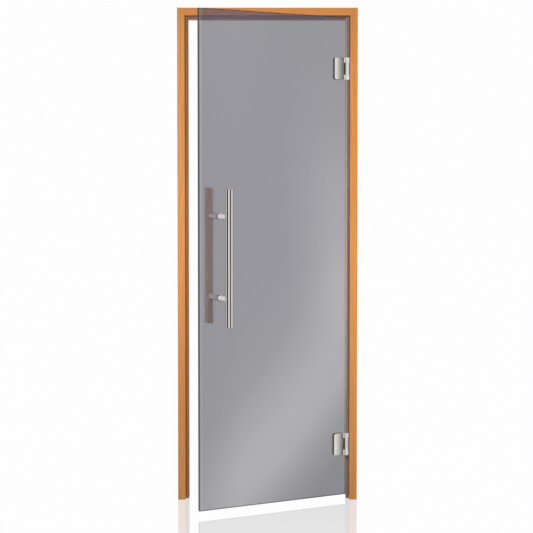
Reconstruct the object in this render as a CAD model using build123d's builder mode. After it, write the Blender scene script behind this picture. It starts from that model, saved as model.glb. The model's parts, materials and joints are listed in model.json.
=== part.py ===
from build123d import *
from math import cos, radians, sin
import os

# A glass sauna door: a three-sided wooden frame with one tinted glass leaf, hung on two clamp hinges.
# The origin is the middle of the hinge jamb's outer side face, which is fixed to the wall.
# X runs along the wall, so the frame reaches to minus X. The front faces minus Y, and Z is up.
# The leaf stands ajar: it is drawn in its own plane, turned about the hinge pins from its closed place.

# Frame
frame_width = 690
frame_height = 1890
frame_depth = 65
jamb_width = 41
rebate_width = 12
rebate_depth = 25
frame_arris = 2

# Fixing holes through the jambs, inside the rebate
fixing_hole_radius = 3
fixing_sink_radius = 6
fixing_end_distance = 145
fixing_front_distance = 12

# Seal strip in the stop, a hollow bulb on a barbed stem
seal_width = 5
seal_height = 5
seal_wall = 1
seal_inset = 3.5
seal_stem_width = 2
seal_stem_depth = 5
seal_barb = 0.4
seal_groove_gap = 0.5
seal_to_glass = 5

# Glass leaf
glass_thickness = 8
glass_side_gap = 5.5
glass_top_gap = 6.5
glass_bottom_gap = 20
glass_corner = 3
glass_arris = 1
glass_hole_radius = 6
opening_angle = 26.5

# Hinge barrel, its pin and the leaf let into the hinge jamb
hinge_height = 84
hinge_top_distance = 232
hinge_bottom_distance = 217
barrel_radius = 8.25
middle_knuckle_radius = 6
knuckle_height = 18.8
knuckle_gap = 0.4
pin_radius = 4
pin_clearance = 0.05
barrel_to_lip = 3.75
barrel_to_glass = 2.25
frame_leaf_thickness = 3
frame_leaf_setback = 3.5
frame_leaf_to_seal = 1
frame_leaf_corner = 3
frame_leaf_play = 0.25
web_thickness = 4.5
leaf_screw_radius = 2.25
leaf_screw_sink_radius = 4.25
leaf_screw_spacing = 62

# Clamp that holds the glass between two plates
clamp_reach = 50
clamp_thickness = 4
clamp_to_barrel = 1.75
clamp_corner = 8
clamp_inner_corner = 2
clamp_edge = 0.8
clamp_root_fillet = 3
gasket_thickness = 1
gasket_inset = 1
clamp_screw_radius = 3
clamp_screw_spacing = 44
clamp_screw_head_radius = 6
clamp_screw_head_depth = 3
clamp_screw_grip = 3
screw_hole_gap = 0.25

# Pull handle: a steel tube outside and a wooden bar inside, on posts through the glass
handle_length = 500
handle_post_spacing = 300
handle_edge_distance = 86
handle_centre_height = 950
tube_radius = 15
tube_wall = 2
tube_distance = 80
cap_thickness = 3
cap_lip = 6
cap_play = 0.05
cap_edge = 0.6
post_radius = 10
post_edge = 0.8
post_to_tube = 0.1
bar_length = 506
bar_width = 22
bar_depth = 30
bar_distance = 80
bar_rounding = 4
washer_radius = 11
washer_thickness = 1
bolt_radius = 4
bolt_grip = 30
bolt_head_radius = 7
bolt_head_height = 6
bolt_head_sink = 1
bolt_play = 0.05

# Levels and planes of the frame
floor_z = -frame_height / 2
top_z = frame_height / 2
front_y = -frame_depth / 2
back_y = frame_depth / 2
stop_y = front_y + rebate_depth
lip_width = jamb_width - rebate_width
frame_middle = -frame_width / 2

# The leaf when it is closed, and the axis of the hinge pins in front of it
glass_back_y = stop_y - seal_height - seal_to_glass
glass_front_y = glass_back_y - glass_thickness
pin_x = -(lip_width + barrel_to_lip + barrel_radius)
pin_y = glass_front_y - barrel_to_glass - barrel_radius

# Places on the leaf, measured from the pins' axis: x towards the hinge jamb, y towards the back
glass_front = glass_front_y - pin_y
glass_back = glass_back_y - pin_y
glass_hinge_edge = -(lip_width + glass_side_gap) - pin_x
glass_free_edge = -(frame_width - lip_width - glass_side_gap) - pin_x
glass_width = glass_hinge_edge - glass_free_edge
glass_bottom = floor_z + glass_bottom_gap
glass_top = top_z - lip_width - glass_top_gap
clamp_front = glass_front - gasket_thickness - clamp_thickness
clamp_back = glass_back + gasket_thickness + clamp_thickness
clamp_near_edge = -(barrel_radius + clamp_to_barrel)
clamp_width = clamp_reach + clamp_near_edge
clamp_middle = clamp_near_edge - clamp_width / 2
handle_x = glass_free_edge + handle_edge_distance
handle_z = floor_z + handle_centre_height
tube_axis = glass_front - tube_distance
bar_front = glass_back + bar_distance
bar_back = bar_front + bar_depth

hinge_levels = {
    "upper": top_z - hinge_top_distance,
    "lower": floor_z + hinge_bottom_distance,
}
post_levels = {
    "upper": handle_z + handle_post_spacing / 2,
    "lower": handle_z - handle_post_spacing / 2,
}
middle_knuckle_height = hinge_height - 2 * (knuckle_height + knuckle_gap)

# The hinge's leaf on the frame, let flush into the side of the rebate
frame_leaf_front = front_y + frame_leaf_setback
frame_leaf_back = stop_y - seal_height - frame_leaf_to_seal
frame_leaf_depth = frame_leaf_back - frame_leaf_front
frame_leaf_middle = (frame_leaf_front + frame_leaf_back) / 2

# The leaf's plane has its origin on the pins' axis, and the hinge plane is the same one left unturned
swing = radians(opening_angle)
leaf = Plane(origin=(pin_x, pin_y, 0), x_dir=(cos(swing), sin(swing), 0), z_dir=(0, 0, 1))
hinge = Plane(origin=(pin_x, pin_y, 0))
depth_axis = Axis(leaf.origin, leaf.y_dir)
width_axis = Axis(leaf.origin, leaf.x_dir)


def leaf_face(depth):
    """An upright plane across the leaf at this depth, facing the front."""
    return Plane(leaf.from_local_coords((0, depth, 0)), x_dir=leaf.x_dir, z_dir=-leaf.y_dir)


def leaf_back_face(depth):
    """An upright plane across the leaf at this depth, facing the back, with x turned round."""
    return Plane(leaf.from_local_coords((0, depth, 0)), x_dir=-leaf.x_dir, z_dir=leaf.y_dir)


def turning_plane(x, depth, level):
    """A level plane through a screw's axis: its y is the screw's axis, towards the back."""
    return Plane(leaf.from_local_coords((x, depth, level)), x_dir=leaf.x_dir, z_dir=(0, 0, 1))


def frame_leaf_face(level):
    """The side of the hinge jamb's rebate at this level, facing the doorway."""
    return Plane((-lip_width, frame_leaf_middle, level), x_dir=(0, -1, 0), z_dir=(-1, 0, 0))


def screw_places(level, side=1):
    """Centres of a hinge's two clamp screws on a face of the leaf."""
    half = clamp_screw_spacing / 2
    return [(side * clamp_middle, level + half), (side * clamp_middle, level - half)]


def save(builder, name):
    """Label a finished piece and write it."""
    builder.part.label = name
    export_step(builder.part, f"parts/{name}.step")


os.makedirs("parts", exist_ok=True)

# Frame

seal_line = lip_width + seal_inset + seal_width / 2
groove_width = seal_stem_width + seal_groove_gap
groove_depth = seal_stem_depth + seal_groove_gap
seal_top = top_z - seal_line


def cut_seal_groove():
    """Cut the seal's groove, which runs up both jambs and along the head, out of the piece in hand."""
    groove_y = stop_y + groove_depth / 2
    jamb_run = seal_top + groove_width / 2 - floor_z
    head_run = frame_width - 2 * seal_line + groove_width
    with Locations((-seal_line, groove_y, floor_z), (seal_line - frame_width, groove_y, floor_z)):
        Box(
            groove_width,
            groove_depth,
            jamb_run,
            align=(Align.CENTER, Align.CENTER, Align.MIN),
            mode=Mode.SUBTRACT,
        )
    with Locations((frame_middle, groove_y, seal_top)):
        Box(head_run, groove_depth, groove_width, mode=Mode.SUBTRACT)


fixing_y = front_y + fixing_front_distance
fixing_level = frame_height / 2 - fixing_end_distance

for jamb_name, outer_x, inward in (("hinge_jamb", 0, -1), ("lock_jamb", -frame_width, 1)):
    lip_x = outer_x + inward * lip_width
    inner_x = outer_x + inward * jamb_width
    with BuildPart() as jamb:
        with BuildSketch(Plane.XY.offset(floor_z)):
            Polygon(
                (outer_x, back_y),
                (outer_x, front_y),
                (lip_x, front_y),
                (lip_x, stop_y),
                (inner_x, stop_y),
                (inner_x, back_y),
                align=None,
            )
        extrude(amount=frame_height)
        fillet(jamb.edges().filter_by(Axis.Z).group_by(Axis.Y)[0], frame_arris)
        cut_seal_groove()
        with Locations(Plane((lip_x, fixing_y, 0), x_dir=(0, inward, 0), z_dir=(inward, 0, 0))):
            with Locations((0, fixing_level), (0, -fixing_level)):
                CounterSinkHole(fixing_hole_radius, fixing_sink_radius, depth=lip_width)
        if jamb_name == "hinge_jamb":
            with BuildSketch(frame_leaf_face(0)):
                with Locations(*[(0, level) for level in hinge_levels.values()]):
                    RectangleRounded(
                        frame_leaf_depth + 2 * frame_leaf_play,
                        hinge_height + 2 * frame_leaf_play,
                        frame_leaf_corner + frame_leaf_play,
                    )
            extrude(amount=-frame_leaf_thickness, mode=Mode.SUBTRACT)
    save(jamb, jamb_name)

with BuildPart() as head:
    with BuildSketch(Plane.XZ.offset(-front_y)):
        with Locations((frame_middle, top_z)):
            Rectangle(
                frame_width - 2 * lip_width, lip_width, align=(Align.CENTER, Align.MAX)
            )
    extrude(amount=-rebate_depth)
    fillet(head.edges().filter_by(Axis.X).group_by(Axis.Y)[0], frame_arris)
    with BuildSketch(Plane.XZ.offset(-stop_y)):
        with Locations((frame_middle, top_z)):
            Rectangle(
                frame_width - 2 * jamb_width, jamb_width, align=(Align.CENTER, Align.MAX)
            )
    extrude(amount=rebate_depth - frame_depth)
    cut_seal_groove()
save(head, "head")

# Seals

# The section's y is 0 at the stop's face and grows towards the glass
half_seal = seal_width / 2
bulb_spring = seal_height - half_seal
stem_side = seal_stem_width / 2
stem_neck = stem_side - seal_barb
barb_y = -seal_stem_depth / 2
hollow_side = half_seal - seal_wall

with BuildSketch() as seal_section:
    with BuildLine():
        Line((-half_seal, 0), (-half_seal, bulb_spring))
        ThreePointArc((-half_seal, bulb_spring), (0, seal_height), (half_seal, bulb_spring))
        Polyline(
            (half_seal, bulb_spring),
            (half_seal, 0),
            (stem_neck, 0),
            (stem_side, barb_y),
            (stem_neck, barb_y),
            (stem_neck, -seal_stem_depth),
            (-stem_neck, -seal_stem_depth),
            (-stem_neck, barb_y),
            (-stem_side, barb_y),
            (-stem_neck, 0),
            (-half_seal, 0),
        )
    make_face()
    with BuildLine():
        Line((-hollow_side, seal_wall), (-hollow_side, bulb_spring))
        ThreePointArc(
            (-hollow_side, bulb_spring), (0, seal_height - seal_wall), (hollow_side, bulb_spring)
        )
        Polyline((hollow_side, bulb_spring), (hollow_side, seal_wall), (-hollow_side, seal_wall))
    make_face(mode=Mode.SUBTRACT)

# Each corner is mitred: the plane's normal points from the jamb's seal to the head's seal
mitres = {
    "hinge_seal": Plane((-seal_line, stop_y, seal_top), x_dir=(0, 1, 0), z_dir=(-1, 0, 1)),
    "lock_seal": Plane((seal_line - frame_width, stop_y, seal_top), x_dir=(0, 1, 0), z_dir=(1, 0, 1)),
}

for seal_name, mitre in mitres.items():
    with BuildPart() as jamb_seal:
        seal_foot = Plane((mitre.origin.X, stop_y, floor_z), x_dir=(-1, 0, 0), z_dir=(0, 0, 1))
        with BuildSketch(seal_foot):
            add(seal_section.sketch)
        extrude(amount=seal_top - floor_z + seal_width)
        split(bisect_by=mitre, keep=Keep.BOTTOM)
    save(jamb_seal, seal_name)

with BuildPart() as head_seal:
    seal_centre = Plane((frame_middle, stop_y, seal_top), x_dir=(0, 0, 1), z_dir=(1, 0, 0))
    with BuildSketch(seal_centre):
        add(seal_section.sketch)
    extrude(amount=frame_width / 2 - seal_line + seal_width, both=True)
    for mitre in mitres.values():
        split(bisect_by=mitre, keep=Keep.TOP)
save(head_seal, "head_seal")

# Glass

with BuildPart() as door_glass:
    with BuildSketch(leaf_face(glass_front)):
        with Locations(((glass_hinge_edge + glass_free_edge) / 2, (glass_top + glass_bottom) / 2)):
            RectangleRounded(glass_width, glass_top - glass_bottom, glass_corner)
        for level in hinge_levels.values():
            with Locations(*screw_places(level)):
                Circle(glass_hole_radius, mode=Mode.SUBTRACT)
        with Locations(*[(handle_x, level) for level in post_levels.values()]):
            Circle(glass_hole_radius, mode=Mode.SUBTRACT)
    extrude(amount=-glass_thickness)
    large_faces = door_glass.faces().sort_by(SortBy.AREA)[-2:]
    chamfer([edge for face in large_faces for edge in face.outer_wire().edges()], glass_arris)
save(door_glass, "door_glass")

# Hinges

for position, level in hinge_levels.items():
    hinge_foot = level - hinge_height / 2
    upper_knuckle_foot = hinge_foot + hinge_height - knuckle_height

    with BuildPart() as outer_clamp:
        with BuildSketch(leaf_face(clamp_front)) as clamp_outline:
            with Locations((clamp_middle, level)):
                Rectangle(clamp_width, hinge_height)
            fillet(clamp_outline.vertices().group_by(Axis.X)[0], clamp_corner)
        extrude(amount=-clamp_thickness)
        front_face = outer_clamp.faces().sort_by(depth_axis)[0]
        chamfer(front_face.edges().sort_by(width_axis)[:-1], clamp_edge)
        for knuckle_foot in (hinge_foot, upper_knuckle_foot):
            with BuildSketch(leaf.offset(knuckle_foot)) as knuckle_profile:
                Circle(barrel_radius)
                with Locations((0, clamp_front)):
                    Rectangle(
                        clamp_thickness - clamp_near_edge,
                        barrel_radius - clamp_front,
                        align=(Align.MAX, Align.MIN),
                    )
                root = knuckle_profile.vertices().filter_by_position(Axis.X, -barrel_radius, -1)
                fillet(root, clamp_root_fillet)
            extrude(amount=knuckle_height)
        with BuildSketch(leaf.offset(hinge_foot)):
            Circle(pin_radius + pin_clearance)
        extrude(amount=hinge_height, mode=Mode.SUBTRACT)
        with BuildSketch(leaf_back_face(clamp_front + clamp_thickness)):
            with Locations(*screw_places(level, -1)):
                Circle(clamp_screw_radius + pin_clearance)
        extrude(amount=-clamp_screw_grip, mode=Mode.SUBTRACT)
    save(outer_clamp, f"{position}_outer_clamp")

    with BuildPart() as inner_clamp:
        with BuildSketch(leaf_face(clamp_back)) as clamp_outline:
            with Locations((clamp_middle, level)):
                Rectangle(clamp_width, hinge_height)
            sides = clamp_outline.vertices().group_by(Axis.X)
            fillet(sides[0], clamp_corner)
            fillet(sides[-1], clamp_inner_corner)
        extrude(amount=clamp_thickness)
        chamfer(inner_clamp.faces().sort_by(depth_axis)[-1].edges(), clamp_edge)
        with Locations(leaf_back_face(clamp_back)):
            with Locations(*screw_places(level, -1)):
                CounterSinkHole(
                    clamp_screw_radius + screw_hole_gap,
                    clamp_screw_head_radius + screw_hole_gap,
                    depth=clamp_thickness,
                )
    save(inner_clamp, f"{position}_inner_clamp")

    for side, gasket_front in (("outer", glass_front - gasket_thickness), ("inner", glass_back)):
        with BuildPart() as gasket:
            with BuildSketch(leaf_face(gasket_front)) as gasket_outline:
                with Locations((clamp_middle, level)):
                    Rectangle(clamp_width - 2 * gasket_inset, hinge_height - 2 * gasket_inset)
                fillet(
                    gasket_outline.vertices().group_by(Axis.X)[0], clamp_corner - gasket_inset
                )
                with Locations(*screw_places(level)):
                    Circle(glass_hole_radius, mode=Mode.SUBTRACT)
            extrude(amount=-gasket_thickness)
        save(gasket, f"{position}_{side}_gasket")

    with BuildPart() as clamp_screws:
        screw_length = clamp_back - clamp_front - clamp_thickness + clamp_screw_grip
        for place_x, place_z in screw_places(level):
            screw_plane = turning_plane(place_x, clamp_back, place_z)
            with BuildSketch(screw_plane):
                Polygon(
                    (0, 0),
                    (clamp_screw_head_radius, 0),
                    (clamp_screw_radius, -clamp_screw_head_depth),
                    (clamp_screw_radius, -screw_length),
                    (0, -screw_length),
                    align=None,
                )
            revolve(axis=Axis(screw_plane.origin, leaf.y_dir))
    save(clamp_screws, f"{position}_clamp_screws")

    with BuildPart() as frame_leaf:
        with BuildSketch(frame_leaf_face(level)):
            RectangleRounded(frame_leaf_depth, hinge_height, frame_leaf_corner)
        extrude(amount=-frame_leaf_thickness)
        plate_x = -lip_width - pin_x
        plate_front = frame_leaf_front - pin_y
        with BuildSketch(hinge.offset(hinge_foot + knuckle_height + knuckle_gap)):
            Circle(middle_knuckle_radius)
            Polygon(
                (0, -web_thickness / 2),
                (plate_x, plate_front),
                (plate_x + frame_leaf_thickness, plate_front),
                (plate_x + frame_leaf_thickness, plate_front + web_thickness),
                (plate_x, plate_front + web_thickness),
                (0, web_thickness / 2),
                align=None,
            )
        extrude(amount=middle_knuckle_height)
        with BuildSketch(hinge.offset(hinge_foot)):
            Circle(pin_radius + pin_clearance)
        extrude(amount=hinge_height, mode=Mode.SUBTRACT)
        with Locations(frame_leaf_face(level)):
            with Locations((0, leaf_screw_spacing / 2), (0, -leaf_screw_spacing / 2)):
                CounterSinkHole(
                    leaf_screw_radius, leaf_screw_sink_radius, depth=frame_leaf_thickness
                )
    save(frame_leaf, f"{position}_frame_leaf")

    with BuildPart() as hinge_pin:
        with BuildSketch(hinge.offset(hinge_foot)):
            Circle(pin_radius)
        extrude(amount=hinge_height)
    save(hinge_pin, f"{position}_hinge_pin")

# Pull handle

tube_foot = handle_z - handle_length / 2
tube_bore = tube_radius - tube_wall

with BuildPart() as handle_tube:
    with BuildSketch(leaf.offset(tube_foot + cap_thickness)):
        with Locations((handle_x, tube_axis)):
            Circle(tube_radius)
            Circle(tube_bore, mode=Mode.SUBTRACT)
    extrude(amount=handle_length - 2 * cap_thickness)
save(handle_tube, "handle_tube")

with BuildPart() as handle_caps:
    for end_z, inward in ((tube_foot, 1), (tube_foot + handle_length, -1)):
        with BuildSketch(leaf.offset(end_z)):
            with Locations((handle_x, tube_axis)):
                Circle(tube_radius)
        extrude(amount=inward * cap_thickness)
        with BuildSketch(leaf.offset(end_z + inward * cap_thickness)):
            with Locations((handle_x, tube_axis)):
                Circle(tube_bore - cap_play)
        extrude(amount=inward * cap_lip)
    cap_ends = handle_caps.edges().group_by(Axis.Z)
    chamfer(cap_ends[0] + cap_ends[-1], cap_edge)
save(handle_caps, "handle_caps")

with BuildPart() as handle_bar:
    with BuildSketch(leaf.offset(tube_foot)):
        with Locations((handle_x, bar_front + bar_depth / 2)):
            RectangleRounded(bar_width, bar_depth, bar_rounding)
    extrude(amount=bar_length)
    bar_ends = handle_bar.edges().group_by(Axis.Z)
    fillet(bar_ends[0] + bar_ends[-1], bar_rounding / 2)
    with Locations(leaf_back_face(bar_back)):
        with Locations(*[(-handle_x, level) for level in post_levels.values()]):
            CounterBoreHole(
                bolt_radius + screw_hole_gap,
                bolt_head_radius + screw_hole_gap,
                bolt_head_height + bolt_head_sink,
                depth=bar_depth,
            )
save(handle_bar, "handle_bar")

for position, level in post_levels.items():
    with BuildPart() as outer_post:
        with BuildSketch(leaf_face(glass_front - washer_thickness)):
            with Locations((handle_x, level)):
                Circle(post_radius)
        extrude(amount=tube_distance - washer_thickness)
        chamfer(outer_post.edges().sort_by(depth_axis)[-1], post_edge)
        with BuildSketch(leaf.offset(level)):
            with Locations((handle_x, tube_axis)):
                Circle(tube_radius + post_to_tube)
        extrude(amount=2 * post_radius, both=True, mode=Mode.SUBTRACT)
        with BuildSketch(leaf_face(glass_front - washer_thickness)):
            with Locations((handle_x, level)):
                Circle(bolt_radius + bolt_play)
        extrude(amount=bolt_grip, mode=Mode.SUBTRACT)
    save(outer_post, f"{position}_outer_post")

    with BuildPart() as inner_post:
        with BuildSketch(leaf_face(bar_front)):
            with Locations((handle_x, level)):
                Circle(post_radius)
        extrude(amount=bar_distance - washer_thickness)
        chamfer(inner_post.edges().sort_by(depth_axis)[0], post_edge)
        with BuildSketch(leaf_face(bar_front)):
            with Locations((handle_x, level)):
                Circle(bolt_radius + screw_hole_gap)
        extrude(amount=bar_distance, mode=Mode.SUBTRACT)
    save(inner_post, f"{position}_inner_post")

    for side, washer_front in (("outer", glass_front - washer_thickness), ("inner", glass_back)):
        with BuildPart() as washer:
            with BuildSketch(leaf_face(washer_front)):
                with Locations((handle_x, level)):
                    Circle(washer_radius)
                    Circle(bolt_radius + screw_hole_gap, mode=Mode.SUBTRACT)
            extrude(amount=-washer_thickness)
        save(washer, f"{position}_{side}_washer")

    with BuildPart() as handle_bolt:
        head_back = bar_back - bolt_head_sink
        bolt_end = glass_front - washer_thickness - bolt_grip - head_back
        bolt_plane = turning_plane(handle_x, head_back, level)
        with BuildSketch(bolt_plane):
            Polygon(
                (0, 0),
                (bolt_head_radius, 0),
                (bolt_head_radius, -bolt_head_height),
                (bolt_radius, -bolt_head_height),
                (bolt_radius, bolt_end),
                (0, bolt_end),
                align=None,
            )
        revolve(axis=Axis(bolt_plane.origin, leaf.y_dir))
    save(handle_bolt, f"{position}_handle_bolt")
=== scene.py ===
import json
from math import cos, pi, radians

import bmesh
import bpy
from mathutils import Matrix, Vector


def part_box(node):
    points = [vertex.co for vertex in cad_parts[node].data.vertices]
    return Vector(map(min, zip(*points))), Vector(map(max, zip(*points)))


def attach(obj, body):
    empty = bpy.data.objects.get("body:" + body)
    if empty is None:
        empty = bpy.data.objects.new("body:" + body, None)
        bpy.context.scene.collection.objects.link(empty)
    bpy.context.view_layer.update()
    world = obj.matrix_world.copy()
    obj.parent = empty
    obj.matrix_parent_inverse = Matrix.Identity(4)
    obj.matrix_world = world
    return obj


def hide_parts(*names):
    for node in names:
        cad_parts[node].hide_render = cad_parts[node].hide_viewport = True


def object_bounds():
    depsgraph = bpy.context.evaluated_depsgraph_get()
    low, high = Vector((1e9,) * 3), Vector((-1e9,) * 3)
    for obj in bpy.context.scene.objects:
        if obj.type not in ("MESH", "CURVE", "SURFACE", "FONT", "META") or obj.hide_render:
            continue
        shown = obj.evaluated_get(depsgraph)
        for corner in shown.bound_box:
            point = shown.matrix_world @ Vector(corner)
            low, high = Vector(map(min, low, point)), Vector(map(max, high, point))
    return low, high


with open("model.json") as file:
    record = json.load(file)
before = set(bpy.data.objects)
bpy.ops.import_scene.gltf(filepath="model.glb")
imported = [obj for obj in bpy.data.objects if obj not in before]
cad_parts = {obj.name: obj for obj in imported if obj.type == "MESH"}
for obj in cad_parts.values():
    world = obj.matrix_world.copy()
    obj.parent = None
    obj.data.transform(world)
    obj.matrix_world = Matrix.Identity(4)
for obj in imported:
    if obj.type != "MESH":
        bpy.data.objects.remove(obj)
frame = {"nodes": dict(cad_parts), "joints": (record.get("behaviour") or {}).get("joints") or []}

# A glass sauna door in its wooden frame: the finishes, the fasteners' sockets, the studio and the camera.
# Sizes are in metres. The front faces minus Y, and Z is up.

cad_low, cad_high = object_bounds()
door_middle = (cad_low + cad_high) / 2
frame_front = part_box("hinge_jamb")[0].y

# The photograph's view
image_size = 533
sensor_width = 36
focal_pixels = 1313.2
camera_place = (-0.36, -5.065, 0.2687)
camera_pitch = radians(-2.189)
camera_yaw = radians(0.13)
shift_pixels = -31

# The leaf's own directions, from its hinge
door_joint = frame["joints"][0]
opening = radians(-door_joint["range_deg"][0])
leaf_turn = Matrix.Translation(Vector(door_joint["pos_m"])) @ Matrix.Rotation(opening, 4, "Z")
leaf_across = leaf_turn.to_3x3() @ Vector((0, 1, 0))
leaf_along = leaf_turn.to_3x3() @ Vector((1, 0, 0))

# Fasteners
turned_segments = 48
smooth_angle = radians(25)
edge_break = 0.0003
socket_floor_share = 0.5
socket_rim_share = 1.16
shaft_chamfer_share = 0.2
clamp_socket = 0.004
clamp_socket_depth = 0.0022
clamp_shaft_radius = 0.003
clamp_head_depth = 0.003
bolt_socket = 0.006
bolt_socket_depth = 0.0035
bolt_shaft_radius = 0.004
bolt_head_height = 0.006
leaf_screw_socket = 0.0025
leaf_screw_socket_depth = 0.0012
leaf_screw_spacing = 0.062
leaf_screw_head_radius = 0.00405
leaf_screw_head_depth = 0.0022
leaf_screw_shaft_radius = 0.002
leaf_screw_length = 0.016
leaf_plate_depth = 0.0155
leaf_plate_thickness = 0.003


def leaf_box(node):
    """A node's lowest and highest corners along the leaf's own directions."""
    inverse = leaf_turn.inverted()
    spots = [inverse @ vertex.co for vertex in frame["nodes"][node].data.vertices]
    low = Vector(map(min, *spots))
    high = Vector(map(max, *spots))
    return low, high


glass_low, glass_high = leaf_box("door_glass")
glass_width = glass_high.x - glass_low.x
free_edge_place = (leaf_turn @ Vector((glass_low.x, 0, 0))).dot(leaf_along)
pin_place = leaf_turn.translation.dot(leaf_along)


# Colours

def paint_value(red, green, blue):
    """A colour as it looks on a display, from 0 to 255, in the linear values of a shader."""

    def linear(value):
        share = value / 255
        return share / 12.92 if share <= 0.04045 else ((share + 0.055) / 1.055) ** 2.4

    return (linear(red), linear(green), linear(blue), 1)


def grey(value):
    """A neutral colour of this linear value."""
    return (value, value, value, 1)


# Shader building

def add(tree, kind, inputs=None, **settings):
    """Add a shader node, with its settings, and set or link its inputs."""
    node = tree.nodes.new("ShaderNode" + kind)
    for name, value in settings.items():
        setattr(node, name, value)
    for name, value in (inputs or {}).items():
        if isinstance(value, bpy.types.NodeSocket):
            tree.links.new(value, node.inputs[name])
        else:
            node.inputs[name].default_value = value
    return node


def calc(tree, operation, *values):
    """The result of one operation on numbers or sockets."""
    return add(tree, "Math", dict(enumerate(values)), operation=operation).outputs[0]


def vector_calc(tree, operation, first, second):
    """The result of one operation on two vectors."""
    return add(tree, "VectorMath", {0: first, 1: second}, operation=operation).outputs[0]


def dot(tree, vector, direction):
    """How far a vector reaches along a direction."""
    return add(tree, "VectorMath", {0: vector, 1: direction}, operation="DOT_PRODUCT").outputs["Value"]


def spread(tree, value, low, high, new_low=0.0, new_high=1.0):
    """Carry a value's range over to another range, and hold it there."""
    inputs = {"Value": value, "From Min": low, "From Max": high, "To Min": new_low, "To Max": new_high}
    return add(tree, "MapRange", inputs).outputs["Result"]


def blend(tree, share, first, second, how="MIX"):
    """Mix two colours."""
    node = add(tree, "Mix", data_type="RGBA", blend_type=how)
    for index, value in ((0, share), (6, first), (7, second)):
        if isinstance(value, bpy.types.NodeSocket):
            tree.links.new(value, node.inputs[index])
        else:
            node.inputs[index].default_value = value
    return node.outputs[2]


def ramp(tree, value, stops):
    """A colour from stops of (place, colour)."""
    node = add(tree, "ValToRGB", {"Fac": value})
    elements = node.color_ramp.elements
    while len(elements) < len(stops):
        elements.new(1)
    for element, (place, stop_colour) in zip(elements, stops):
        element.position = place
        element.color = stop_colour
    return node.outputs["Color"]


def noise(tree, place, scales, detail=2.0):
    """Noise with about this many features to a metre along X, Y and Z."""
    mapped = add(tree, "Mapping", {"Vector": place, "Scale": scales})
    inputs = {"Vector": mapped.outputs[0], "Scale": 1.0, "Detail": detail}
    return add(tree, "TexNoise", inputs).outputs["Fac"]


def blank(name):
    """A new material, with its node tree and its main shader."""
    material = bpy.data.materials.new(name)
    material.use_nodes = True
    tree = material.node_tree
    return material, tree, tree.nodes["Principled BSDF"]


def bump(tree, shader, height, depth, strength=1.0):
    """Raise the surface by this height, which runs from 0 to 1, times the depth in metres."""
    inputs = {"Height": height, "Distance": depth, "Strength": strength}
    tree.links.new(add(tree, "Bump", inputs).outputs["Normal"], shader.inputs["Normal"])


def object_place(tree):
    """A surface's place in the CAD's own coordinates, which stays with the piece as it moves."""
    return add(tree, "TexCoord").outputs["Object"]


def object_normal(tree):
    """Which way a surface faces in the CAD's own coordinates."""
    return add(tree, "TexCoord").outputs["Normal"]


# The spans that noise mostly keeps to, and where it passes for fibres and pores
noise_span = (0.3, 0.7)
fibre_span = (0.35, 0.75)
pore_span = (0.62, 0.72)

# Wood: the features to a metre across and along the grain, and how strongly each one shows
rings_per_metre = 190.0
ring_stops = [(0.0, grey(0)), (0.72, grey(0.35)), (0.93, grey(1)), (1.0, grey(0))]
ring_share = 0.32
drift_scales = (5, 5, 1.1)
drift_reach = 0.05
cloud_scales = (16, 16, 1.6)
streak_scales = (130, 130, 3)
fibre_scales = (1100, 1100, 22)
fibre_share = 0.22
fibre_height = 0.6
pore_scales = (2300, 2300, 160)
pore_share = 0.3
pore_height = 0.5
grain_depth = 0.00012
grain_strength = 0.7
wood_rough = (0.36, 0.5)
end_grain_span = (0.6, 0.9)
end_grain_share = 0.6

# The painted shade in the frame's rebate, darkening the wood from just behind the lip's rounded edge to the
# stop
painted_rebate_shade = paint_value(104, 74, 52)
painted_rebate_shade_share = 0.8
rebate_start = (0.003, 0.006)
rebate_depth = 0.025
rebate_facing = (0.7, 0.9)


def rebate_shade_mask(tree):
    """Where the painted rebate shade falls: surfaces in the frame's rebate that face the front or the
    doorway.
    """
    place = object_place(tree)
    normal = object_normal(tree)
    inwards = calc(tree, "SUBTRACT", door_middle.x, dot(tree, place, (1, 0, 0)))
    inwards = calc(tree, "DIVIDE", inwards, cad_high.x - door_middle.x)
    facing = calc(tree, "MULTIPLY", inwards, dot(tree, normal, (1, 0, 0)))
    facing = calc(tree, "MAXIMUM", facing, dot(tree, normal, (0, 0, -1)))
    facing = calc(tree, "MAXIMUM", facing, dot(tree, normal, (0, -1, 0)))
    depth = calc(tree, "SUBTRACT", dot(tree, place, (0, 1, 0)), frame_front)
    past_lip = spread(tree, depth, *rebate_start)
    before_stop = spread(tree, depth, rebate_depth + edge_break, rebate_depth + 2 * edge_break, 1.0, 0.0)
    within = calc(tree, "MULTIPLY", past_lip, before_stop)
    return calc(tree, "MULTIPLY", within, spread(tree, facing, *rebate_facing))


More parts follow.
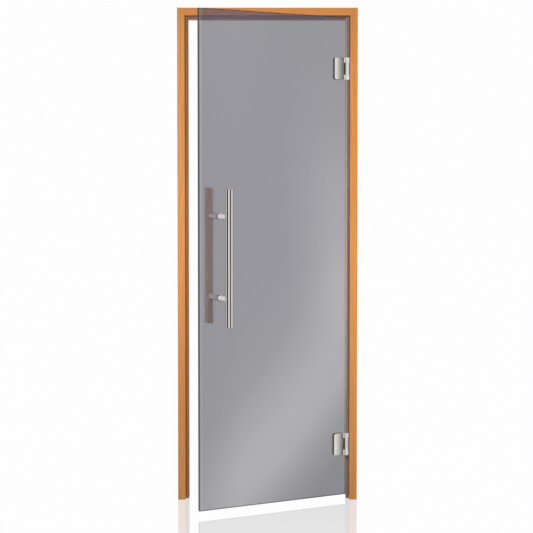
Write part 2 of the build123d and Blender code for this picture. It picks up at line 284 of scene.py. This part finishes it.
def wood(name, turn, pith, tones):
    """Oiled alder. The turn brings the grain to Z, and the pith is the middle of the rings."""
    material, tree, shader = blank(name)
    light, dark, line, end = tones
    inputs = {"Vector": object_place(tree), "Rotation": turn, "Location": pith}
    board = add(tree, "Mapping", inputs).outputs[0]
    slow = add(tree, "Mapping", {"Vector": board, "Scale": drift_scales}).outputs[0]
    drift = add(tree, "TexNoise", {"Vector": slow, "Scale": 1.0, "Detail": 2.0}).outputs["Color"]
    drift = vector_calc(tree, "SUBTRACT", drift, (0.5, 0.5, 0.5))
    drift = vector_calc(tree, "MULTIPLY", drift, 3 * (drift_reach,))
    bent = vector_calc(tree, "ADD", board, drift)
    flat = vector_calc(tree, "MULTIPLY", bent, (1, 1, 0))
    radius = add(tree, "VectorMath", {0: flat}, operation="LENGTH").outputs["Value"]
    ring_line = ramp(tree, calc(tree, "FRACT", calc(tree, "MULTIPLY", radius, rings_per_metre)), ring_stops)

    cloud = noise(tree, board, cloud_scales)
    streak = noise(tree, board, streak_scales, detail=3.0)
    fibre = noise(tree, board, fibre_scales)
    pore = spread(tree, noise(tree, board, pore_scales, detail=1.0), *pore_span)

    shade = calc(tree, "ADD", *[spread(tree, grain, *noise_span, 0.0, 0.5) for grain in (cloud, streak)])
    tone = blend(tree, shade, light, dark)
    tone = blend(tree, calc(tree, "MULTIPLY", ring_line, ring_share), tone, line)
    tone = blend(tree, spread(tree, fibre, *fibre_span, 0.0, fibre_share), tone, line)
    tone = blend(tree, calc(tree, "MULTIPLY", pore, pore_share), tone, line)
    normal = add(tree, "Mapping", {"Vector": object_normal(tree), "Rotation": turn}).outputs[0]
    along = calc(tree, "ABSOLUTE", dot(tree, normal, (0, 0, 1)))
    tone = blend(tree, spread(tree, along, *end_grain_span), tone, blend(tree, end_grain_share, tone, end))
    # Painted shade: the wood darkens in the rebate behind the lip.
    tone = blend(tree, calc(tree, "MULTIPLY", rebate_shade_mask(tree), painted_rebate_shade_share), tone, painted_rebate_shade)
    tree.links.new(tone, shader.inputs["Base Color"])
    tree.links.new(spread(tree, fibre, *noise_span, *wood_rough), shader.inputs["Roughness"])
    raised = calc(tree, "MULTIPLY", fibre, fibre_height)
    sunk = calc(tree, "MULTIPLY", pore, pore_height)
    bump(tree, shader, calc(tree, "SUBTRACT", raised, sunk), grain_depth, grain_strength)
    return material


# The hollow grinding of the clamps' outer plates, from the hinge pins along the leaf
dish_middle = -0.037
dish_ends = (-0.06, -0.009)
dish_radius = 0.25

# The knuckles' painted highlight, in whiter and less metallic steel than the clamps, and the painted shade on
# the frame leaves where they are let into the rebate
knuckle_start = -0.0108
knuckle_painted_highlight = (0.92, 0.9, 0.86, 1)
knuckle_rough = 0.38
knuckle_metallic = 0.4
let_in_shade_span = (0.0045, 0.009)
let_in_painted_shade = (0.3, 0.24, 0.19, 1)

# Steel: the brush lines to a metre across and along them, and their depths
plate_brushing = (1600, 1600, 12)
plate_scratches = 0.000004
tube_polishing = (60, 60, 2500)
tube_scratches = 0.0000003
post_brushing = (300, 300, 1600)
post_scratches = 0.000002
fastener_brushing = (300, 300, 300)
line_share = 0.12
line_tone = grey(0.3)
smear_scales = (24, 24, 24)
smear_rough = 0.03


def steel(name, base, rough, brushing, scratch_depth, metallic=1.0, dished=False, painted_let_in_shade=False):
    """Stainless steel with brush lines: the brushing is small along them.

    A dished clamp is hollow-ground up to knuckles with a painted highlight, whiter and less metallic.
    A leaf that is let in gets the rebate's shade painted on past its own knuckle.
    """
    material, tree, shader = blank(name)
    place = object_place(tree)
    lines = noise(tree, place, brushing, detail=3.0)
    smear = calc(tree, "MULTIPLY", noise(tree, place, smear_scales), smear_rough)
    shader.inputs["Metallic"].default_value = metallic
    tone = blend(tree, spread(tree, lines, *noise_span, 0.0, line_share), base, line_tone)
    worn = calc(tree, "ADD", spread(tree, lines, *noise_span, rough * 0.8, rough * 1.2), smear)
    height = calc(tree, "MULTIPLY", lines, scratch_depth)
    if dished:
        reach = dot(tree, place, leaf_along)
        ends = [pin_place + end for end in dish_ends]
        offset = spread(tree, reach, *ends, dish_ends[0] - dish_middle, dish_ends[1] - dish_middle)
        bowl = calc(tree, "DIVIDE", calc(tree, "MULTIPLY", offset, offset), 2 * dish_radius)
        height = calc(tree, "ADD", height, bowl)
        # Painted highlight: the knuckles get whiter, rougher and less metallic steel, so they show bright.
        knuckle = spread(tree, reach, pin_place + knuckle_start, pin_place + knuckle_start + edge_break)
        worn = spread(tree, knuckle, 0.0, 1.0, worn, knuckle_rough)
        tone = blend(tree, knuckle, tone, knuckle_painted_highlight)
        tree.links.new(spread(tree, knuckle, 0.0, 1.0, metallic, knuckle_metallic), shader.inputs["Metallic"])
    # Painted shade: the leaf darkens past the pin, inside the rebate.
    if painted_let_in_shade:
        past_pin = calc(tree, "SUBTRACT", dot(tree, place, (1, 0, 0)), leaf_turn.translation.x)
        tone = blend(tree, spread(tree, past_pin, *let_in_shade_span), tone, let_in_painted_shade)
    tree.links.new(tone, shader.inputs["Base Color"])
    tree.links.new(worn, shader.inputs["Roughness"])
    bump(tree, shader, height, 1.0)
    return material


# Silicone, rubber and nylon
mottle_scales = (60, 60, 60)
mottle_share = 0.35
mottle_tone = grey(0.12)
skin_scales = (1500, 1500, 1500)
skin_depth = 0.00005
skin_strength = 0.5


def soft(name, base, rough):
    """Silicone, rubber or nylon, faintly uneven."""
    material, tree, shader = blank(name)
    place = object_place(tree)
    mottle = noise(tree, place, mottle_scales)
    tone = blend(tree, spread(tree, mottle, *noise_span, 0.0, mottle_share), base, mottle_tone)
    tree.links.new(tone, shader.inputs["Base Color"])
    tree.links.new(spread(tree, mottle, *noise_span, rough * 0.9, rough * 1.1), shader.inputs["Roughness"])
    bump(tree, shader, noise(tree, place, skin_scales), skin_depth, skin_strength)
    return material


# Glass, with a strip painted inside its free edge: a dark band as painted shade, then a paler band as a
# painted glow.
# The strips' stops are shares of the strip's width, from the edge.
glass_alpha = 0.505
glass_ior = 2.3
glass_rough = 0.025
body_tone = (0.011, 0.006, 0.031, 1)
painted_glow_tone = (0.08, 0.08, 0.09, 1)
strip_width = 0.016
edge_strip_painted_light = [
    (0.0, (0.012, 0.012, 0.014, 1)),
    (0.26, (0.02, 0.02, 0.024, 1)),
    (0.36, painted_glow_tone),
    (0.75, painted_glow_tone),
    (0.9, body_tone),
]
strip_alphas = [(0.0, grey(0.92)), (0.26, grey(0.85)), (0.36, grey(glass_alpha))]
ground_scales = (700, 700, 700)
ground_tones = (paint_value(30, 34, 36), paint_value(50, 56, 58))
ground_rough = 0.3
ground_alpha = 0.97
# Painted glow: pale beige on the edge facing the hinge and on a band of the faces beside it.
hinge_edge_painted_glow = paint_value(196, 178, 160)
hinge_edge_alpha = grey(0.85)
hinge_edge_span = (0.006, 0.003)
hinge_facing = (0.2, 0.6)
face_span = (0.75, 0.98)

# The painted shade in the slot beside a hinge's middle knuckle, along the leaf from the pins and up from the
# hinge's middle
slot_painted_shade = (0.004, 0.004, 0.004, 1)
slot_ends = (-0.0067, -0.0005)
slot_half_height = 0.0228


def slot_shade_mask(tree):
    """Where the glass's front is painted black as the shade in the slot beside each hinge's middle knuckle.
    """
    place = object_place(tree)
    to_front = dot(tree, object_normal(tree), -leaf_across)
    reach = dot(tree, place, leaf_along)
    first, last = (pin_place + end for end in slot_ends)
    past_start = spread(tree, reach, first, first + edge_break)
    across = calc(tree, "MULTIPLY", past_start, spread(tree, reach, last - edge_break, last, 1.0, 0.0))
    heights = []
    for position in ("upper", "lower"):
        low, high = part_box(f"{position}_frame_leaf")
        away = calc(tree, "SUBTRACT", dot(tree, place, (0, 0, 1)), (low.z + high.z) / 2)
        away = calc(tree, "ABSOLUTE", away)
        heights.append(spread(tree, away, slot_half_height - edge_break, slot_half_height, 1.0, 0.0))
    within = calc(tree, "MULTIPLY", across, calc(tree, "ADD", *heights))
    return calc(tree, "MULTIPLY", within, spread(tree, to_front, *face_span))


def tinted_glass():
    """Smoke-grey toughened glass with clear faces and ground edges; painted shade and a painted glow inside
    the free edge, a painted glow at the hinge edge and painted shade in the hinge slots.
    """
    material, tree, shader = blank("tinted_glass")
    place = object_place(tree)
    normal = object_normal(tree)
    face = spread(tree, calc(tree, "ABSOLUTE", dot(tree, normal, leaf_across)), *face_span)
    from_edge = calc(tree, "SUBTRACT", dot(tree, place, leaf_along), free_edge_place)
    strip_place = spread(tree, from_edge, 0.0, strip_width)
    hinge_glow_band = spread(tree, from_edge, *[glass_width - inset for inset in hinge_edge_span])
    slot_shade = slot_shade_mask(tree)

    ground = noise(tree, place, ground_scales)
    to_hinge = spread(tree, dot(tree, normal, leaf_along), *hinge_facing)
    edge_tone = blend(tree, spread(tree, ground, *noise_span), *ground_tones)
    edge_tone = blend(tree, to_hinge, edge_tone, hinge_edge_painted_glow)
    face_tone = blend(tree, hinge_glow_band, ramp(tree, strip_place, edge_strip_painted_light), hinge_edge_painted_glow)
    # Painted shade: the glass turns black in the slots beside the middle knuckles.
    face_tone = blend(tree, slot_shade, face_tone, slot_painted_shade)
    tree.links.new(blend(tree, face, edge_tone, face_tone), shader.inputs["Base Color"])

    solid = blend(tree, hinge_glow_band, ramp(tree, strip_place, strip_alphas), hinge_edge_alpha)
    solid = blend(tree, slot_shade, solid, grey(1))
    tree.links.new(spread(tree, face, 0.0, 1.0, ground_alpha, solid), shader.inputs["Alpha"])
    tree.links.new(spread(tree, face, 0.0, 1.0, 1.0, 0.0), shader.inputs["Metallic"])
    tree.links.new(spread(tree, face, 0.0, 1.0, ground_rough, glass_rough), shader.inputs["Roughness"])
    tree.links.new(spread(tree, slot_shade, 0.0, 1.0, 0.5, 0.0), shader.inputs["Specular IOR Level"])
    shader.inputs["IOR"].default_value = glass_ior
    return material


# Finishes

frame_tones = (
    paint_value(241, 166, 92),
    paint_value(229, 147, 76),
    paint_value(160, 94, 48),
    paint_value(140, 84, 50),
)
bar_tones = (
    paint_value(214, 196, 168),
    paint_value(198, 178, 150),
    paint_value(156, 120, 80),
    paint_value(150, 112, 72),
)
clamp_tone = (0.62, 0.6, 0.56, 1)
tube_tone = (0.7, 0.655, 0.65, 1)
post_tone = (0.93, 0.85, 0.83, 1)
fastener_tone = (0.55, 0.54, 0.52, 1)
seal_tone = (0.36, 0.25, 0.19, 1)
upright = (0, 0, 0)
level_grain = (0, pi / 2, 0)

finishes = {
    wood("hinge_jamb_alder", upright, (0.05, 0.12, 0), frame_tones): ["hinge_jamb"],
    wood("lock_jamb_alder", upright, (0.61, -0.13, 3), frame_tones): ["lock_jamb"],
    wood("head_alder", level_grain, (0.8, 0.1, 2.2), frame_tones): ["head"],
    wood("bar_alder", upright, (0.64, 0.2, 1), bar_tones): ["handle_bar"],
    soft("seal_silicone", seal_tone, 0.5): ["hinge_seal", "lock_seal", "head_seal"],
    # The outer clamps' knuckles carry the painted highlight.
    steel("dished_steel", clamp_tone, 0.2, plate_brushing, plate_scratches, dished=True): [
        "upper_outer_clamp",
        "lower_outer_clamp",
    ],
    steel("brushed_steel", clamp_tone, 0.24, plate_brushing, plate_scratches): [
        "upper_inner_clamp",
        "lower_inner_clamp",
    ],
    # The frame leaves take the knuckles' painted highlight as their whole colour, and painted shade past the
    # pin.
    steel("leaf_steel", knuckle_painted_highlight, 0.32, plate_brushing, plate_scratches, knuckle_metallic, painted_let_in_shade=True): [
        "upper_frame_leaf",
        "lower_frame_leaf",
    ],
    steel("polished_steel", tube_tone, 0.1, tube_polishing, tube_scratches): [
        "handle_tube",
        "handle_caps",
    ],
    steel("satin_steel", post_tone, 0.4, post_brushing, post_scratches, metallic=0.3): [
        "upper_outer_post",
        "lower_outer_post",
        "upper_inner_post",
        "lower_inner_post",
    ],
    soft("gasket_rubber", grey(0.05), 0.6): [
        f"{place}_{side}_gasket" for place in ("upper", "lower") for side in ("outer", "inner")
    ],
    soft("washer_nylon", grey(0.3), 0.4): [
        f"{place}_{side}_washer" for place in ("upper", "lower") for side in ("outer", "inner")
    ],
    tinted_glass(): ["door_glass"],
}
for material, nodes in finishes.items():
    for node in nodes:
        for material_slot in frame["nodes"][node].material_slots:
            material_slot.material = material

# The glass casts no shadow, so that the bar and the head behind it are lit as the frame is
frame["nodes"]["door_glass"].visible_shadow = False

fastener_steel = steel("fastener_steel", fastener_tone, 0.2, fastener_brushing, plate_scratches)


# Fasteners

def turned(name, material, places, rings):
    """A turned piece at each place, from rings of (radius, depth, is it a hexagon), along the place's Z."""
    mesh = bpy.data.meshes.new(name)
    made = bmesh.new()
    for place in places:
        loops = []
        for radius, depth, hexagon in rings:
            loop = []
            for step in range(turned_segments):
                angle = 2 * pi * step / turned_segments
                reach = radius
                if hexagon:
                    reach = radius / cos((angle + pi / 6) % (pi / 3) - pi / 6)
                spot = place @ Matrix.Rotation(angle, 4, "Z") @ Vector((reach, 0, depth))
                loop.append(made.verts.new(spot))
            loops.append(loop)
        for first, second in zip(loops, loops[1:]):
            for step in range(turned_segments):
                ahead = (step + 1) % turned_segments
                made.faces.new((first[step], first[ahead], second[ahead], second[step]))
        made.faces.new(loops[0][::-1])
        made.faces.new(loops[-1])
    bmesh.ops.recalc_face_normals(made, faces=made.faces)
    made.to_mesh(mesh)
    made.free()
    for face in mesh.polygons:
        face.use_smooth = True
    mesh.set_sharp_from_angle(angle=smooth_angle)
    mesh.materials.append(material)
    piece = bpy.data.objects.new(name, mesh)
    bpy.context.scene.collection.objects.link(piece)
    return piece


def socket_rings(socket, socket_depth, head_radius):
    """The hex socket and the face of a screw's head, from the socket's floor outwards."""
    half = socket / 2
    return [
        (half * socket_floor_share, socket_depth + edge_break, True),
        (half, socket_depth, True),
        (half, edge_break, True),
        (half * socket_rim_share + edge_break, 0, False),
        (head_radius - edge_break, 0, False),
    ]


def shaft_rings(radius, start, length):
    """A screw's shaft, with its end chamfered."""
    chamfer = radius * shaft_chamfer_share
    return [(radius, start, False), (radius, length - chamfer, False), (radius - chamfer, length, False)]


into_leaf = Matrix.Rotation(pi / 2, 4, "X")
into_jamb = Matrix.Rotation(pi / 2, 4, "Y")

for position in ("upper", "lower"):
    low, high = leaf_box(f"{position}_clamp_screws")
    radius = (high.x - low.x) / 2
    places = [
        leaf_turn @ Matrix.Translation(((low.x + high.x) / 2, high.y, level)) @ into_leaf
        for level in (low.z + radius, high.z - radius)
    ]
    rings = socket_rings(clamp_socket, clamp_socket_depth, radius)
    rings.append((radius, edge_break, False))
    rings += shaft_rings(clamp_shaft_radius, clamp_head_depth, high.y - low.y)
    screws = turned(f"{position}_clamp_socket_screws", fastener_steel, places, rings)
    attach(screws, "door_leaf")
    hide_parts(f"{position}_clamp_screws")

    low, high = leaf_box(f"{position}_handle_bolt")
    radius = (high.x - low.x) / 2
    middle = (low + high) / 2
    place = leaf_turn @ Matrix.Translation((middle.x, high.y, middle.z)) @ into_leaf
    rings = socket_rings(bolt_socket, bolt_socket_depth, radius)
    rings.append((radius, edge_break, False))
    rings.append((radius, bolt_head_height, False))
    rings += shaft_rings(bolt_shaft_radius, bolt_head_height, high.y - low.y)
    bolt = turned(f"{position}_handle_socket_bolt", fastener_steel, [place], rings)
    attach(bolt, "door_leaf")
    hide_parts(f"{position}_handle_bolt")

    low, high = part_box(f"{position}_frame_leaf")
    level = (low.z + high.z) / 2
    face = Vector((high.x - leaf_plate_thickness, high.y - leaf_plate_depth / 2, level))
    places = [
        Matrix.Translation(face + Vector((edge_break, 0, side * leaf_screw_spacing / 2))) @ into_jamb
        for side in (-1, 1)
    ]
    rings = socket_rings(leaf_screw_socket, leaf_screw_socket_depth, leaf_screw_head_radius)
    rings.append((leaf_screw_head_radius, edge_break / 2, False))
    rings += shaft_rings(leaf_screw_shaft_radius, leaf_screw_head_depth, leaf_screw_length)
    leaf_screws = turned(f"{position}_frame_leaf_screws", fastener_steel, places, rings)
    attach(leaf_screws, "frame")

    low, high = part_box(f"{position}_hinge_pin")
    radius = (high.x - low.x) / 2
    middle = (low + high) / 2
    length = high.z - low.z
    rings = [
        (radius - 2 * edge_break, 0, False),
        (radius, 2 * edge_break, False),
        (radius, length - 2 * edge_break, False),
        (radius - 2 * edge_break, length, False),
    ]
    pin_foot = Matrix.Translation((middle.x, middle.y, low.z))
    pin = turned(f"{position}_chamfered_pin", fastener_steel, [pin_foot], rings)
    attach(pin, "frame")
    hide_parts(f"{position}_hinge_pin")


# Studio

scene = bpy.context.scene
scene.view_settings.view_transform = "Standard"
backdrop_white = 0.984
diffuse_share = 0.1

# The bands of light and dark round the door, by their azimuth in degrees to the right of the camera
behind = grey(backdrop_white)
panel = grey(1)
wall = grey(1.1)
side_wall = grey(0.8)
flag = (0.03, 0.017, 0.015, 1)
studio_bands = [
    (-180, behind), (-160, behind), (-150, wall), (-114, wall), (-108, side_wall), (-80, side_wall),
    (-73, flag), (-38, flag), (-33, panel), (12, panel), (17, flag), (44, flag), (51, grey(0.45)),
    (57, grey(0.8)), (60, grey(2)), (64, grey(2)), (67, grey(0.2)), (78, grey(0.2)), (84, grey(0.9)),
    (115, grey(0.9)), (126, grey(0.4)), (150, grey(0.4)), (158, behind), (180, behind),
]

# The softbox, a round light that glows only within a window of azimuths, where the leaf mirrors it.
# The rim's levels go with the degrees past its radius, and the side's with the elevation.
window_bands = [
    (-180, grey(0)), (49.5, grey(0)), (51.5, grey(1)), (57, grey(1)), (59, grey(0)), (180, grey(0)),
]
rim_centre = (24.9, 12.4)
rim_radius = 35.7
rim_levels = [
    (-9.5, 0.93), (-8, 0.74), (-6, 0.62), (-4, 0.66), (-2.5, 0.66), (-1.2, 0.84), (0, 1.4), (1, 1.83),
    (2, 1.7), (3, 0.78), (4, 0.15), (5, 0.08),
]
side_span = (54, 56)
side_glow = 0.65
side_height = (-7, 6)
side_stops = [(0, grey(0)), (0.23, grey(1)), (0.54, grey(1)), (0.77, grey(0.3)), (1, grey(0))]


def bands_round(tree, azimuth, stops):
    """A colour from stops of (azimuth in degrees, colour)."""
    return ramp(tree, spread(tree, azimuth, -pi, pi), [((angle + 180) / 360, tone) for angle, tone in stops])


def softbox(tree, azimuth, elevation):
    """A graded light to the right of the camera: its curved rim is the diagonal sheen on the glass."""
    way = add(tree, "CombineXYZ", {"X": azimuth, "Y": elevation}).outputs[0]
    centre = (*map(radians, rim_centre), 0)
    reach = add(tree, "VectorMath", {0: way, 1: centre}, operation="DISTANCE").outputs["Value"]
    first, last = rim_levels[0][0], rim_levels[-1][0]
    share = spread(tree, reach, radians(rim_radius + first), radians(rim_radius + last))
    glow = ramp(tree, share, [((angle - first) / (last - first), grey(level)) for angle, level in rim_levels])
    level = ramp(tree, spread(tree, elevation, *map(radians, side_height)), side_stops)
    side = spread(tree, azimuth, *map(radians, side_span), 0.0, side_glow)
    return blend(tree, 1.0, glow, calc(tree, "MULTIPLY", side, level), "ADD")


def studio_world():
    """White to the camera and the floor's mirror, and else a studio of broad lights and dark flags."""
    world = bpy.data.worlds.new("studio")
    scene.world = world
    world.use_nodes = True
    tree = world.node_tree
    way = add(tree, "SeparateXYZ", {0: add(tree, "TexCoord").outputs["Generated"]})
    azimuth = calc(tree, "ARCTAN2", way.outputs["X"], calc(tree, "MULTIPLY", way.outputs["Y"], -1.0))
    elevation = calc(tree, "ARCSINE", way.outputs["Z"])
    studio = bands_round(tree, azimuth, studio_bands)
    glow = softbox(tree, azimuth, elevation)
    studio = blend(tree, bands_round(tree, azimuth, window_bands), studio, glow)
    rays = add(tree, "LightPath").outputs
    dimmed = blend(tree, 1.0, studio, grey(diffuse_share), "MULTIPLY")
    studio = blend(tree, rays["Is Diffuse Ray"], studio, dimmed)
    plain = calc(tree, "MAXIMUM", rays["Is Camera Ray"], rays["Is Singular Ray"])
    tree.links.new(blend(tree, plain, studio, behind), tree.nodes["Background"].inputs["Color"])


studio_world()

# The floor's glow as other rays see it, and what diffuse rays see less of it
floor_half_width = 15
floor_glow = 0.6
floor_diffuse_loss = 0.55
floor_ior = 1.9


def make_floor():
    """A wide pale floor with a faint mirror image of what stands on it."""
    mesh = bpy.data.meshes.new("floor")
    made = bmesh.new()
    bmesh.ops.create_grid(made, x_segments=8, y_segments=8, size=floor_half_width)
    made.to_mesh(mesh)
    made.free()
    floor = bpy.data.objects.new("floor", mesh)
    floor.location.z = cad_low.z
    floor.visible_glossy = False
    scene.collection.objects.link(floor)
    material, tree, shader = blank("pale_floor")
    tree.nodes.remove(shader)
    rays = add(tree, "LightPath").outputs
    strength = spread(tree, rays["Is Camera Ray"], 0.0, 1.0, floor_glow, backdrop_white)
    loss = calc(tree, "MULTIPLY", rays["Is Diffuse Ray"], floor_diffuse_loss)
    strength = calc(tree, "SUBTRACT", strength, loss)
    glow = add(tree, "Emission", {"Color": grey(1), "Strength": strength})
    mirror = add(tree, "BsdfGlossy", {"Color": grey(1), "Roughness": 0.0})
    share = add(tree, "Fresnel", {"IOR": floor_ior})
    mixed = add(tree, "MixShader", {0: share.outputs[0], 1: glow.outputs[0], 2: mirror.outputs[0]})
    tree.links.new(mixed.outputs[0], tree.nodes["Material Output"].inputs["Surface"])
    mesh.materials.append(material)


make_floor()


def soft_light(name, place, aim, size, power, beam=180):
    """A rectangular light at a place, turned towards a point, with its beam's angle in degrees."""
    lamp = bpy.data.lights.new(name, "AREA")
    lamp.shape = "RECTANGLE"
    lamp.size, lamp.size_y = size
    lamp.energy = power
    lamp.spread = radians(beam)
    holder = bpy.data.objects.new(name, lamp)
    holder.location = place
    holder.rotation_euler = (Vector(aim) - Vector(place)).to_track_quat("-Z", "Y").to_euler()
    holder.visible_camera = False
    holder.visible_glossy = False
    scene.collection.objects.link(holder)


# The lights: three on the door's middle line, and one beside each jamb, just behind the frame's middle
middle_x = door_middle.x
front_distance = 2.3
back_distance = 2.6
side_distance = 1.6
side_depth = 0.06
side_level = 0.2

soft_light("key", (middle_x, -front_distance, 0.6), (middle_x, 0, 0), size=(0.6, 0.4), power=21.5, beam=125)
soft_light("low_fill", (middle_x, -front_distance, -0.7), (middle_x, 0, -0.7), size=(0.6, 0.3), power=4.5)
soft_light("back", (middle_x, back_distance, 0.45), (middle_x, 0, 0), size=(0.8, 1.2), power=50)
for name, jamb_x, outwards in (("left", cad_low.x, -1), ("right", cad_high.x, 1)):
    lamp_place = (jamb_x + outwards * side_distance, side_depth, side_level)
    soft_light(name, lamp_place, (jamb_x, side_depth, side_level), size=(0.12, 1.6), power=22)

# Camera

camera_data = bpy.data.cameras.new("camera")
camera_data.sensor_width = sensor_width
camera_data.lens = focal_pixels / image_size * sensor_width
camera_data.shift_y = shift_pixels / image_size
camera = bpy.data.objects.new("camera", camera_data)
camera.location = camera_place
camera.rotation_euler = (pi / 2 + camera_pitch, 0, -camera_yaw)
scene.collection.objects.link(camera)
scene.camera = camera
